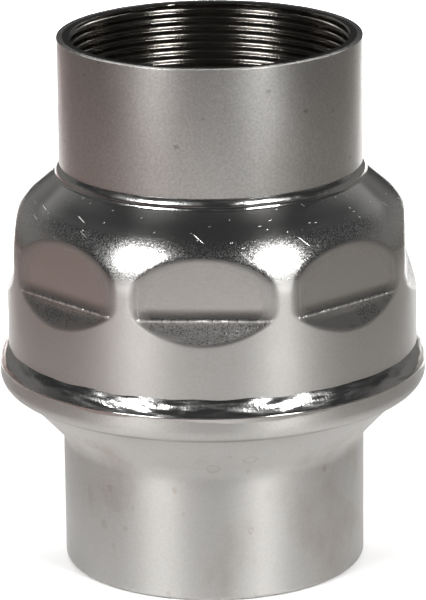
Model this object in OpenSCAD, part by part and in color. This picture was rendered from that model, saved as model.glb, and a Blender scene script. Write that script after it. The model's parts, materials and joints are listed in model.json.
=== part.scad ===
// Spring-loaded non-return valve with female pipe threads at both ends.
// Millimetres, +Z up along the flow, origin at the centre of the inlet end face.
// Two pressed shells are lap welded at the waist, and hold a seat, a guided disc and its spring.

/* [Pipe thread] */
// Crest diameter of the female pipe thread
thread_crest_d = 72.226; // [66:0.001:74]
// Depth of the thread from crest to root
thread_depth = 1.479; // [0.8:0.001:1.6]
// Distance from one thread turn to the next
thread_pitch = 2.309; // [1.5:0.001:2.5]
// Full turns cut in each end
thread_turns = 8; // [6:1:9]
// Width of the tie across the grooves, where one turn of the crest runs into the next
thread_tie_w = 3.2; // [2:0.1:8]
// How far the tie stands back from the crest
thread_tie_step = 0.15; // [0.1:0.05:0.3]
// Chamfer where the thread starts
thread_entry = 0.6; // [0.3:0.1:1.5]
// Plain relief behind the thread
relief_h = 3; // [2:0.1:5]

/* [Outlet socket] */
// Wall of the outlet socket outside the thread root
outlet_wall = 2.41; // [1.8:0.01:5]
// Height of the stop behind the outlet thread
outlet_stop_h = 11.62; // [6:0.01:16]
// How far the stop stands in from the thread crest
outlet_stop_step = 0.6; // [0.3:0.1:1.5]
// Step from the socket's outside to its spigot
spigot_step = 2; // [1:0.1:2.4]
// Length of the spigot below the socket's foot
spigot_l = 5.5; // [3.5:0.1:8]
// Chamfer on the outer edges of the socket
edge_c = 0.4; // [0.2:0.1:0.8]
// Height of the weld bead under the socket
bead_h = 2.3; // [1.5:0.1:4]
// How far the shell's top edge stands outside the socket
bead_step = 0.65; // [0.2:0.05:1.5]

/* [Upper shell] */
// Thickness of the pressed sheet
shell_wall = 2.35; // [1.5:0.05:3]
// Free way between the cage and the inside of the flats
body_gap = 4.9; // [3:0.1:10]
// Number of spanner flats
flat_count = 8; // [6:2:12]
// Depth of the flats below the skirt
flat_depth = 3.2; // [1.5:0.1:5]
// Slope of the ledge under each flat, from the horizontal
ledge_slope = 57; // [40:1:70]
// Height from the lower shell's rim to the ledge
skirt_h = 24.5; // [16:0.5:34]
// Straight height of the ridges above the ledge
ridge_h = 5.2; // [3:0.1:14]
// Radius that rounds the skirt into the shoulder
shoulder_r = 20; // [10:0.5:24]
// Slope of the shoulder, from the horizontal
shoulder_slope = 40.6; // [30:0.1:55]

/* [Lower shell] */
// Wall of the neck outside the thread root
inlet_wall = 2.56; // [2:0.01:5]
// Height of the stop behind the inlet thread
inlet_stop_h = 4.9; // [3:0.1:8]
// How far the inlet stop stands in from the thread crest
inlet_stop_step = 2.1; // [1:0.1:3]
// Height from the inlet stop to where neck and cone lines meet
neck_rise = 8.42; // [6:0.01:12]
// Slope of the cone, from the horizontal
cone_slope = 47; // [35:1:60]
// Thickness of the cone
cone_wall = 2.6; // [2:0.1:4]
// Fillet between the neck and the cone
neck_fillet = 7; // [2:0.5:10]
// Rounding under the lip
lip_round = 4.3; // [3:0.1:5]
// Height of the cup that takes the upper shell
cup_h = 7.6; // [5.5:0.1:12]
// Wall left around the seat ring
seat_wall = 3.15; // [2.5:0.05:4]
// Rounding at the neck's end
end_round = 1.2; // [0.4:0.1:2]
// Height of the weld on the skirt, above the rim
weld_h = 4.4; // [3:0.1:6]
// Crown radius of the waist weld
weld_crown = 6; // [4:0.5:12]

/* [Seat] */
// Clear bore of the seat
seat_bore_d = 63; // [54:0.5:65]
// Width of the seat lip
lip_w = 2.5; // [1.5:0.1:4]
// Height of the seat lip above its flange
lip_h = 1.5; // [1:0.1:3]
// Width of the flat land on top of the lip
lip_land = 1.2; // [0.6:0.1:1.4]
// Thickness of the seat flange
flange_t = 2.7; // [2:0.1:4]
// Section of the seat's O-ring
oring_d = 1.9; // [1.4:0.1:2.2]
// Height of the O-ring above the seat ring's foot
oring_rise = 2.2; // [2:0.1:3]

/* [Lower guide] */
// Thickness of the guide plate
guide_t = 2; // [1.5:0.1:3]
// Number of guide arms
guide_arms = 3; // [3:1:6]
// Width of a guide arm
guide_arm_w = 6; // [4:0.5:9]
// Wall of the guide hub
hub_wall = 2.5; // [1.5:0.1:4]
// Gap between the lower bush and the stem's collar, with the valve shut
collar_gap = 1; // [0.5:0.1:4]
// Depth of the hub below the plate's underside
hub_down = 3; // [0.5:0.1:4]

/* [Cage] */
// Gap between the disc and the cage
cage_gap = 1.7; // [1:0.1:4]
// Width of the cage's foot ring
foot_w = 5.6; // [5.3:0.1:8]
// Thickness of the cage sheet
cage_t = 2; // [1.5:0.1:2.5]
// Number of cage legs
cage_legs = 4; // [3:1:6]
// Width of a cage leg
leg_w = 9; // [6:0.5:14]
// Bend radius at the top of a leg
cage_bend = 6; // [3:0.5:10]
// Diameter of the cage screws
screw_d = 3; // [2.5:0.1:4]
// Head diameter of the cage screws
screw_head_d = 5; // [4.5:0.1:5.2]
// Head height of the cage screws
screw_head_h = 1.6; // [1.2:0.1:3]
// Width across the flats of the key that turns the cage screws
screw_key_af = 2; // [1.5:0.1:2.5]
// Depth of the key's socket in a screw head
screw_key_h = 0.8; // [0.5:0.1:1.1]

/* [Guide tube] */
// Wall of the guide tube around its bush
tube_wall = 2; // [1.5:0.1:3]
// Flange that carries the spring's upper end
tube_flange_t = 2.5; // [1.5:0.1:4]
// Height of the guide tube's nut
tube_nut_h = 4.5; // [3:0.1:6]
// Width across the flats of the guide tube's nut
tube_nut_af = 24; // [22:0.5:30]
// Step in the tube that carries the bush
bush_step_h = 3.5; // [2:0.1:6]

/* [Bushes] */
// Wall of both guide bushes
bush_wall = 1.45; // [1:0.05:2.5]
// Flange thickness of both guide bushes
bush_flange_t = 1.2; // [0.8:0.1:2]
// Flange width of both guide bushes
bush_flange_w = 1.9; // [1:0.1:2]

/* [Disc] */
// How far the seal reaches past the seat lip
seal_over = 2; // [1:0.1:4]
// Thickness of the disc seal
seal_t = 3.5; // [2:0.1:6]
// Hole in the disc seal
seal_hole_d = 24; // [14:0.5:40]
// How far the disc plate reaches past its seal
disc_rim = 0.5; // [0.2:0.1:1.5]
// Thickness of the disc plate
disc_t = 2.5; // [1.5:0.1:4]
// Thickness of the seal retainer
retainer_t = 2.5; // [1.5:0.1:4]
// Gap between the seal retainer and the seat bore
retainer_gap = 1.2; // [0.6:0.1:3]
// Height that the disc lifts
disc_lift = 15; // [8:0.5:18]

/* [Stem] */
// Diameter of the stem
stem_d = 10; // [8:0.1:11]
// Diameter of the collar under the disc
collar_d = 18; // [15:0.5:26]
// Thickness of the collar
collar_t = 3; // [2:0.1:5]
// Stem left below the lower bush with the valve shut
stem_tail = 4; // [2:0.1:4.5]
// Stem left above the clip
stem_tip = 1.6; // [1:0.1:4]
// Chamfer on both ends of the stem
stem_end_c = 1; // [0.4:0.1:1.4]
// Width across the flats of the stem nut
stem_nut_af = 17; // [15:0.5:18]
// Height of the stem nut
stem_nut_h = 6; // [4:0.1:8]
// Outer diameter of the stem washer
washer_d = 20; // [18.5:0.1:20.5]
// Thickness of the stem washer
washer_t = 1.5; // [1:0.1:2.5]
// Thickness of the stem clip
clip_t = 1; // [0.6:0.1:1.5]
// Width of the stem clip
clip_w = 3.2; // [2:0.1:4]
// Depth of the clip's groove
clip_groove = 0.8; // [0.4:0.1:1.2]

/* [Spring] */
// Mean diameter of the return spring
spring_d = 24.5; // [23.6:0.1:28]
// Wire diameter of the return spring
wire_d = 1.5; // [1:0.1:2]
// Length of the fitted spring with the valve shut
spring_l = 36.7; // [32:0.1:40]
// Coils of the return spring that work
spring_coils = 6; // [4:1:7]
// Thickness of the spring cup
cup_t = 1.2; // [0.8:0.1:2]
// Rim height of the spring cup above its floor
cup_rim_h = 2.2; // [1:0.1:4]

/* [Clearances] */
// Radial play of a fixed fit
fit_gap = 0.03; // [0.02:0.01:0.1]
// Radial play of the stem in its bushes
run_gap = 0.05; // [0.02:0.01:0.09]
// Radial play of parts that turn or pass freely
free_gap = 0.3; // [0.3:0.05:0.5]
// Gap between the seal and its seat, which rubber fills
seal_gap = 0.1; // [0.05:0.01:0.3]
// Room left at the end of the disc's travel
stop_gap = 0.3; // [0.2:0.05:1]

/* [Hidden] */
$fn = 96;
SPRING_STEPS = 22;
WIRE_SIDES = 8;
DEAD_COILS = 1;
FAR = 200;
CUT = 1;

// Radii that the thread and the seat give
crest_r = thread_crest_d / 2;
root_r = crest_r + thread_depth;
thread_end = thread_entry + thread_turns * thread_pitch;
thread_l = thread_end + relief_h;
socket_r = root_r + outlet_wall;
spigot_r = socket_r - spigot_step;
outlet_bore_r = crest_r - outlet_stop_step;
inlet_bore_r = crest_r - inlet_stop_step;
seat_r = seat_bore_d / 2;
// The neck holds the thread, and the seat ring with its O-ring
neck_r = max(root_r + inlet_wall, seat_r + lip_w + oring_d + seat_wall);
seat_fit_r = neck_r - seat_wall;
seal_r = seat_r + lip_w + seal_over;
disc_r = seal_r + disc_rim;
foot_in_r = disc_r + cage_gap;
cage_r = foot_in_r + foot_w;
flat_r = cage_r + body_gap + shell_wall;
skirt_r = flat_r + flat_depth;
lip_r = skirt_r + fit_gap + shell_wall;
lip_round_r = lip_r - lip_round;

// Heights, from the inlet face up
stop_z = thread_l + inlet_stop_h;
neck_z = stop_z + neck_rise;
cup_z = neck_z + (lip_round_r - neck_r) * tan(cone_slope);
cup_floor_z = cup_z + shell_wall;
rim_z = cup_z + cup_h;
ledge_z = rim_z + skirt_h;
shoulder_z = ledge_z + ridge_h;
shoulder_rise = 90 - shoulder_slope;
tangent_r = skirt_r - shoulder_r * (1 - cos(shoulder_rise));
tangent_z = shoulder_z + shoulder_r * sin(shoulder_rise);
shell_top_r = socket_r + bead_step;
shell_top_z = tangent_z + (tangent_r - shell_top_r) * tan(shoulder_slope);
foot_z = shell_top_z + bead_h;
top_z = foot_z + outlet_stop_h + thread_l;

// Height of the cone's inside at a radius
function cone_in_z(r) =
    cup_z + (r - lip_round_r) * tan(cone_slope) + cone_wall / cos(cone_slope);

// Seat stack
seat_foot_z = stop_z + guide_t;
flange_z = cone_in_z(cage_r) + free_gap;
flange_top_z = flange_z + flange_t;
seat_z = flange_top_z + lip_h;
groove_mid_z = seat_foot_z + oring_rise;
oring_r = seat_fit_r - fit_gap - oring_d / 2;

// Disc stack, shut
seal_z = seat_z + seal_gap;
disc_z = seal_z + seal_t;
disc_top_z = disc_z + disc_t;
washer_top_z = disc_top_z + washer_t;
nut_top_z = washer_top_z + stem_nut_h;
retainer_z = seal_z - retainer_t;
collar_z = retainer_z - collar_t;
retainer_r = seat_r - retainer_gap;

// Spring and cage
cup_base_z = disc_top_z + seal_gap;
spring_z = cup_base_z + cup_t;
spring_top_z = spring_z + spring_l;
cage_top_z = spring_top_z + tube_flange_t;
plate_top_z = cage_top_z + cage_t;
spring_r = spring_d / 2;
cup_hole_r = washer_d / 2 + free_gap;
cup_r = spring_r + wire_d / 2 + free_gap + cup_t;
screw_ring_r = (foot_in_r + cage_r) / 2;
foot_top_z = flange_top_z + cage_t;

// Stem, bushes and guide tube
stem_r = stem_d / 2;
bush_in_r = stem_r + run_gap;
bush_r = bush_in_r + bush_wall;
hub_bore_r = bush_r + fit_gap;
hub_r = hub_bore_r + hub_wall;
hub_z = stop_z - hub_down;
hub_top_z = collar_z - collar_gap - bush_flange_t;
tube_r = hub_bore_r + tube_wall;
tube_z = nut_top_z + disc_lift + stop_gap;
tube_top_z = plate_top_z + tube_nut_h;
tube_flange_r = cup_r;
bush_top_z = tube_top_z + bush_flange_t;
clip_z = bush_top_z + stop_gap;
stem_top_z = clip_z + clip_t + stem_tip;
stem_z = hub_z - stem_tail;

STEEL = [0.72, 0.72, 0.70];
POLISHED = [0.85, 0.86, 0.88];
TURNED = [0.78, 0.77, 0.75];
RUBBER = [0.10, 0.10, 0.11];
PLASTIC = [0.92, 0.91, 0.86];

// Room cut by a female thread, from its mouth at z = 0 upwards: core, entry, grooves and relief
module threaded_bore() {
    land = thread_pitch / 6;
    flank = thread_pitch / 3;
    rotate_extrude() polygon([
        [0, -CUT], [crest_r + thread_entry, -CUT], [crest_r + thread_entry, 0],
        [crest_r, thread_entry], [crest_r, thread_end + land / 2],
        [root_r, thread_end + land / 2 + thread_depth], [root_r, thread_l], [0, thread_l]
    ]);
    difference() {
        rotate_extrude()
            for (turn = [0 : thread_turns - 1]) translate([0, thread_entry + turn * thread_pitch])
                polygon([
                    [crest_r - land, land / 2], [crest_r, land / 2], [root_r, land / 2 + flank],
                    [root_r, land * 3 / 2 + flank], [crest_r, land * 3 / 2 + flank * 2],
                    [crest_r - land, land * 3 / 2 + flank * 2]
                ]);
        difference() {
            translate([-thread_tie_w / 2, -FAR, thread_entry])
                cube([thread_tie_w, FAR, thread_end - thread_entry + land / 2]);
            bar(crest_r + thread_tie_step, 0, thread_l);
        }
    }
}

// Ring with a square section, from the inside radius out and from z up
module ring_section(r_in, r_out, z, z_top) {
    translate([r_in, z]) square([r_out - r_in, z_top - z]);
}

module ring(r_in, r_out, z, z_top) {
    rotate_extrude() ring_section(r_in, r_out, z, z_top);
}

module bar(r, z, z_top) {
    translate([0, 0, z]) cylinder(r = r, h = z_top - z);
}

module hexagon(across_flats, z, z_top) {
    translate([0, 0, z]) cylinder(d = across_flats / cos(30), h = z_top - z, $fn = 6);
}

// The shell's outline without its flats, drawn in by inset
module dome_section(inset) {
    turn_r = shoulder_r - inset;
    end_r = skirt_r - shoulder_r + turn_r * cos(shoulder_rise);
    end_z = shoulder_z + turn_r * sin(shoulder_rise);
    ring_section(0, skirt_r - inset, cup_floor_z - inset, shoulder_z);
    intersection() {
        translate([skirt_r - shoulder_r, shoulder_z]) circle(r = turn_r);
        ring_section(0, skirt_r, shoulder_z, end_z);
    }
    polygon([
        [0, shoulder_z], [skirt_r - shoulder_r, shoulder_z], [end_r, end_z],
        [0, end_z + end_r * tan(shoulder_slope)]
    ]);
}

// Room outside the flats, each with the sloping ledge that brings it out to the skirt
module flat_cuts(inset) {
    cut_r = flat_r - inset;
    cut_z = ledge_z - inset * (1 - sin(ledge_slope)) / cos(ledge_slope);
    for (flat = [0 : flat_count - 1])
        rotate([0, 0, flat * 360 / flat_count - 90]) rotate([90, 0, 0])
            linear_extrude(height = 2 * skirt_r, center = true) polygon([
                [cut_r, cut_z], [cut_r, FAR], [FAR, FAR],
                [FAR, cut_z - (FAR - cut_r) * tan(ledge_slope)]
            ]);
}

module shell_form(inset) {
    difference() {
        rotate_extrude() dome_section(inset);
        flat_cuts(inset);
    }
}

module upper_shell() {
    color(STEEL) difference() {
        intersection() {
            shell_form(0);
            bar(FAR, cup_floor_z, shell_top_z);
        }
        shell_form(shell_wall);
        bar(spigot_r + fit_gap, shoulder_z, top_z);
    }
}

module outlet_socket() {
    color(TURNED) difference() {
        rotate_extrude() {
            polygon([
                [0, foot_z], [socket_r - edge_c, foot_z], [socket_r, foot_z + edge_c],
                [socket_r, top_z - edge_c], [socket_r - edge_c, top_z], [0, top_z]
            ]);
            ring_section(0, spigot_r, foot_z - spigot_l, foot_z);
        }
        translate([0, 0, top_z]) mirror([0, 0, 1]) threaded_bore();
        bar(outlet_bore_r, foot_z - spigot_l - CUT, top_z);
    }
}

module outlet_weld() {
    bead_r = bead_h / 2;
    color(POLISHED) rotate_extrude() {
        ring_section(spigot_r, shell_top_r - bead_r, shell_top_z, foot_z);
        intersection() {
            translate([shell_top_r - bead_r, shell_top_z + bead_r]) circle(r = bead_r);
            ring_section(shell_top_r - bead_r, shell_top_r, shell_top_z, foot_z);
        }
    }
}

// The lower shell's outside: neck, fillet, cone, rounded lip and cup
module lower_outline() {
    turn = neck_fillet * tan((90 - cone_slope) / 2);
    fillet_z = neck_z - turn;
    cone_r = neck_r + turn * cos(cone_slope);
    cone_z = neck_z + turn * sin(cone_slope);
    translate([neck_r - end_round, end_round]) circle(r = end_round);
    ring_section(0, neck_r - end_round, 0, fillet_z);
    ring_section(0, neck_r, end_round, fillet_z);
    difference() {
        polygon([
            [0, fillet_z], [neck_r, fillet_z], [neck_r + neck_fillet, fillet_z],
            [cone_r, cone_z], [0, cone_z]
        ]);
        translate([neck_r + neck_fillet, fillet_z]) circle(r = neck_fillet);
    }
    polygon([[0, cone_z], [cone_r, cone_z], [lip_round_r, cup_z], [0, cup_z]]);
    ring_section(0, lip_round_r, cup_z, rim_z);
    translate([lip_round_r, cup_z + lip_round]) circle(r = lip_round);
    ring_section(0, lip_r, cup_z + lip_round, rim_z);
}

module lower_shell() {
    floor_r = lip_round_r + (cup_floor_z - cone_in_z(lip_round_r)) / tan(cone_slope);
    color(STEEL) difference() {
        rotate_extrude() difference() {
            intersection() {
                lower_outline();
                ring_section(0, FAR, 0, rim_z);
            }
            ring_section(0, inlet_bore_r, thread_l - CUT, stop_z + CUT);
            polygon([
                [0, stop_z], [seat_fit_r, stop_z], [seat_fit_r, cone_in_z(seat_fit_r)],
                [floor_r, cup_floor_z], [skirt_r + fit_gap, cup_floor_z],
                [skirt_r + fit_gap, FAR], [0, FAR]
            ]);
        }
        threaded_bore();
    }
}

// Fillet weld with a crowned face, from the rim to the skirt
module waist_weld() {
    leg_r = lip_r - skirt_r;
    chord = sqrt(leg_r * leg_r + weld_h * weld_h);
    reach = sqrt(weld_crown * weld_crown - chord * chord / 4);
    mid = [skirt_r + leg_r / 2, rim_z + weld_h / 2];
    centre = mid - reach * [weld_h, leg_r] / chord;
    color(POLISHED) rotate_extrude() intersection() {
        translate(centre) circle(r = weld_crown);
        ring_section(skirt_r, lip_r, rim_z, rim_z + weld_h);
    }
}

module lower_guide() {
    arm_l = (inlet_bore_r + seat_fit_r) / 2;
    color(STEEL) difference() {
        union() {
            ring(inlet_bore_r, seat_fit_r - fit_gap, stop_z, seat_foot_z);
            for (arm = [0 : guide_arms - 1])
                rotate([0, 0, arm * 360 / guide_arms + 90])
                    translate([0, -guide_arm_w / 2, stop_z])
                        cube([arm_l, guide_arm_w, guide_t]);
            bar(hub_r, hub_z, hub_top_z);
        }
        bar(hub_bore_r, hub_z - CUT, hub_top_z + CUT);
    }
}

// Bush from z up, with its flange on the seat at seat_top_z
module bush(z, seat_top_z) {
    bush_top = seat_top_z + bush_flange_t;
    color(PLASTIC) rotate_extrude() {
        ring_section(bush_in_r, bush_r, z, bush_top);
        ring_section(bush_in_r, bush_r + bush_flange_w, seat_top_z, bush_top);
    }
}

module lower_bush() {
    bush(hub_z, hub_top_z);
}

module at_screws() {
    for (screw = [0 : cage_legs - 1])
        rotate([0, 0, screw * 360 / cage_legs]) translate([screw_ring_r, 0, 0]) children();
}

module seat_ring() {
    groove_in = oring_r - oring_d / 2 - fit_gap;
    groove_z = groove_mid_z - oring_d / 2 - free_gap;
    groove_top_z = groove_mid_z + oring_d / 2 + free_gap;
    fit_r = seat_fit_r - fit_gap;
    lip_side = (lip_w - lip_land) / 2;
    color(TURNED) difference() {
        rotate_extrude() polygon([
            [seat_r, seat_foot_z], [fit_r, seat_foot_z],
            [fit_r, groove_z], [groove_in, groove_z],
            [groove_in, groove_top_z], [fit_r, groove_top_z],
            [fit_r, flange_z], [cage_r, flange_z],
            [cage_r, flange_top_z], [seat_r + lip_w, flange_top_z],
            [seat_r + lip_w, seat_z - lip_side], [seat_r + lip_side + lip_land, seat_z],
            [seat_r + lip_side, seat_z], [seat_r, seat_z - lip_side]
        ]);
        at_screws() bar(screw_d / 2 + fit_gap, flange_z - CUT, flange_top_z + CUT);
    }
}

module seat_o_ring() {
    color(RUBBER) rotate_extrude() translate([oring_r, groove_mid_z]) circle(d = oring_d);
}

// Bell of one sheet thickness: an upright wall, a bend and a flat top
module bell_section() {
    bend_z = plate_top_z - cage_bend;
    bend_r = cage_r - cage_bend;
    difference() {
        union() {
            ring_section(0, cage_r, flange_top_z, bend_z);
            intersection() {
                translate([bend_r, bend_z]) circle(r = cage_bend);
                ring_section(bend_r, cage_r, bend_z, plate_top_z);
            }
            ring_section(0, bend_r, bend_z, plate_top_z);
        }
        ring_section(0, cage_r - cage_t, flange_top_z - CUT, bend_z);
        translate([bend_r, bend_z]) circle(r = cage_bend - cage_t);
        ring_section(0, bend_r, bend_z - cage_bend, cage_top_z);
    }
}

module guide_cage() {
    color(STEEL) difference() {
        union() {
            ring(foot_in_r, cage_r, flange_top_z, foot_top_z);
            intersection() {
                rotate_extrude() bell_section();
                union() {
                    for (leg = [0 : cage_legs - 1])
                        rotate([0, 0, (leg + 1 / 2) * 360 / cage_legs])
                            translate([0, -leg_w / 2, flange_top_z])
                                cube([FAR, leg_w, FAR]);
                    bar(tube_flange_r, flange_top_z, FAR);
                }
            }
        }
        bar(tube_r + fit_gap, cage_top_z - CUT, plate_top_z + CUT);
        at_screws() bar(screw_d / 2 + free_gap, flange_top_z - CUT, foot_top_z + CUT);
    }
}

module cage_screws() {
    head_top_z = foot_top_z + screw_head_h;
    color(TURNED) at_screws() {
        bar(screw_d / 2, flange_z, foot_top_z);
        difference() {
            bar(screw_head_d / 2, foot_top_z, head_top_z);
            hexagon(screw_key_af, head_top_z - screw_key_h, head_top_z + CUT);
        }
    }
}

module guide_tube() {
    step_z = tube_z + bush_step_h;
    color(TURNED) rotate_extrude() difference() {
        union() {
            ring_section(0, tube_r, tube_z, tube_top_z);
            ring_section(0, tube_flange_r, spring_top_z, cage_top_z);
        }
        ring_section(0, stem_r + 2 * free_gap, tube_z - CUT, step_z + CUT);
        ring_section(0, hub_bore_r, step_z, tube_top_z + CUT);
    }
}

module tube_nut() {
    color(TURNED) difference() {
        hexagon(tube_nut_af, plate_top_z, tube_top_z);
        bar(tube_r + fit_gap, plate_top_z - CUT, tube_top_z + CUT);
    }
}

module upper_bush() {
    bush(tube_z + bush_step_h, tube_top_z);
}

// Height of the wire's middle after a number of coils, closed at both ends
spring_turns = spring_coils + 2 * DEAD_COILS;
spring_rise = spring_l - wire_d;
dead_pitch = wire_d + fit_gap;
live_pitch = (spring_rise - 2 * DEAD_COILS * dead_pitch) / spring_coils;
function wire_z(turn) = spring_z + wire_d / 2
    + dead_pitch * min(turn, DEAD_COILS)
    + live_pitch * min(max(turn - DEAD_COILS, 0), spring_coils)
    + dead_pitch * max(turn - DEAD_COILS - spring_coils, 0);

module return_spring() {
    steps = spring_turns * SPRING_STEPS;
    points = [for (step = [0 : steps], side = [0 : WIRE_SIDES - 1])
        let(turn = step / SPRING_STEPS, round_wire = side * 360 / WIRE_SIDES,
            r = spring_r + wire_d / 2 * cos(round_wire))
        [r * cos(turn * 360), r * sin(turn * 360), wire_z(turn) + wire_d / 2 * sin(round_wire)]];
    sides = [for (step = [0 : steps - 1], side = [0 : WIRE_SIDES - 1])
        let(next = (side + 1) % WIRE_SIDES, here = step * WIRE_SIDES, there = here + WIRE_SIDES)
        [here + side, there + side, there + next, here + next]];
    start = [[for (side = [0 : WIRE_SIDES - 1]) side]];
    end = [[for (side = [WIRE_SIDES - 1 : -1 : 0]) steps * WIRE_SIDES + side]];
    color(POLISHED) polyhedron(points, concat(start, sides, end));
}

module spring_cup() {
    color(STEEL) rotate_extrude() {
        ring_section(cup_hole_r, cup_r, cup_base_z, spring_z);
        ring_section(cup_r - cup_t, cup_r, cup_base_z, spring_z + cup_rim_h);
    }
}

module stem() {
    color(TURNED) rotate_extrude() difference() {
        union() {
            polygon([
                [0, stem_z], [stem_r - stem_end_c, stem_z], [stem_r, stem_z + stem_end_c],
                [stem_r, stem_top_z - stem_end_c], [stem_r - stem_end_c, stem_top_z],
                [0, stem_top_z]
            ]);
            ring_section(0, collar_d / 2, collar_z, retainer_z);
        }
        ring_section(stem_r - clip_groove, FAR, clip_z, clip_z + clip_t);
    }
}

module seal_retainer() {
    color(STEEL) ring(stem_r + fit_gap, retainer_r, retainer_z, seal_z);
}

module disc_seal() {
    color(RUBBER) ring(seal_hole_d / 2, seal_r, seal_z, disc_z);
}

// Plate with a boss that fills the seal's hole
module disc_plate() {
    color(STEEL) rotate_extrude() {
        ring_section(stem_r + fit_gap, disc_r, disc_z, disc_top_z);
        ring_section(stem_r + fit_gap, seal_hole_d / 2 - fit_gap, seal_z, disc_z);
    }
}

module stem_washer() {
    color(TURNED) ring(stem_r + fit_gap, washer_d / 2, disc_top_z, washer_top_z);
}

module stem_nut() {
    color(TURNED) difference() {
        hexagon(stem_nut_af, washer_top_z, nut_top_z);
        bar(stem_r + fit_gap, washer_top_z - CUT, nut_top_z + CUT);
    }
}

module stem_clip() {
    in_r = stem_r - clip_groove + fit_gap;
    color(POLISHED) difference() {
        ring(in_r, in_r + clip_w, clip_z + fit_gap, clip_z + clip_t - fit_gap);
        translate([0, -in_r / 2, clip_z - CUT]) cube([FAR, in_r, clip_t + 2 * CUT]);
    }
}

outlet_socket();
outlet_weld();
upper_shell();
waist_weld();
lower_shell();
lower_guide();
lower_bush();
seat_ring();
seat_o_ring();
guide_cage();
cage_screws();
guide_tube();
tube_nut();
upper_bush();
return_spring();
spring_cup();
stem();
seal_retainer();
disc_seal();
disc_plate();
stem_washer();
stem_nut();
stem_clip();
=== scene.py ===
import json
from math import asin, atan, ceil, cos, pi, radians, sin, sqrt, tan

import bmesh
import bpy
import numpy as np
from mathutils import Matrix, Vector


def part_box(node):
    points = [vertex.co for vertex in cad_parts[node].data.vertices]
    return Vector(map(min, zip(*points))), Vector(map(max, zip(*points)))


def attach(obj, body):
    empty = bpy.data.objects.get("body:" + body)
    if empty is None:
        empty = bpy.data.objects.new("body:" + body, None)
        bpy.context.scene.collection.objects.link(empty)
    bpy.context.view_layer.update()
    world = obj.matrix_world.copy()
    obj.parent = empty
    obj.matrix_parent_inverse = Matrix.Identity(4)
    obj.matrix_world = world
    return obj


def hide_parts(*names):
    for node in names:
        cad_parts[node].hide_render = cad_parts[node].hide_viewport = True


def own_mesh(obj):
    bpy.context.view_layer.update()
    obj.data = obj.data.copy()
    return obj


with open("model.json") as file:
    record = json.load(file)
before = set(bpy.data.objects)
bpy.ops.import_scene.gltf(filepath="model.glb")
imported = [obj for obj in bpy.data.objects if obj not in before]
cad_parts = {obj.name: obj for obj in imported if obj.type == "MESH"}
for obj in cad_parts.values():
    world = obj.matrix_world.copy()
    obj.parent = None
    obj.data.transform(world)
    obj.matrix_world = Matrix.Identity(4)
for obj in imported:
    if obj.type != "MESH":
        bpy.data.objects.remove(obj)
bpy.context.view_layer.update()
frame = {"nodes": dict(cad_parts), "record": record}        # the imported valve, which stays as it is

mm = 0.001
fullTurn = 2 * pi
print("valve frame loaded")


def newObject(name, data):
    made = bpy.data.objects.new(name, data)
    bpy.context.scene.collection.objects.link(made)
    return made


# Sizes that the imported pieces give
def footOf(node):
    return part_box(node)[0].z


def topOf(node):
    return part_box(node)[1].z


def radiusOf(node):
    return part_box(node)[1].x


def reach(node):
    return footOf(node), topOf(node), radiusOf(node)


socketFoot, socketTop, socketRadius = reach("outlet_socket")
weldFoot, weldTop, weldRadius = reach("outlet_weld")
skirtFoot, shoulderTop, skirtRadius = reach("upper_shell")
waistFoot, waistTop, waistRadius = reach("waist_weld")
rimTop = topOf("lower_shell")
lipRadius = radiusOf("lower_shell")

pipeThread = {
    "crest": 36.113 * mm,
    "depth": 1.479 * mm,
    "pitch": 2.309 * mm,
    "turns": 8,
    "entry": 0.6 * mm,        # chamfer at the mouth
    "relief": 3 * mm,         # plain length behind the thread
    "pointsPerPitch": 16,
    "columns": 288,
}
threadRoot = pipeThread["crest"] + pipeThread["depth"]
threadEnd = pipeThread["entry"] + pipeThread["turns"] * pipeThread["pitch"]
threadLength = threadEnd + pipeThread["relief"]


# Shader maths: a socket that can be used in an expression
def mathNode(operation, swapped=False):
    def combine(self, other):
        terms = (other, self) if swapped else (self, other)
        return self.finish.node("ShaderNodeMath", {"operation": operation}, dict(enumerate(terms)))

    return combine


class Wire:
    __add__ = mathNode("ADD")
    __radd__ = mathNode("ADD", swapped=True)
    __sub__ = mathNode("SUBTRACT")
    __rsub__ = mathNode("SUBTRACT", swapped=True)
    __mul__ = mathNode("MULTIPLY")
    __rmul__ = mathNode("MULTIPLY", swapped=True)
    __truediv__ = mathNode("DIVIDE")
    __pow__ = mathNode("POWER")

    def __init__(self, finish, socket):
        self.finish = finish
        self.socket = socket


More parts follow.
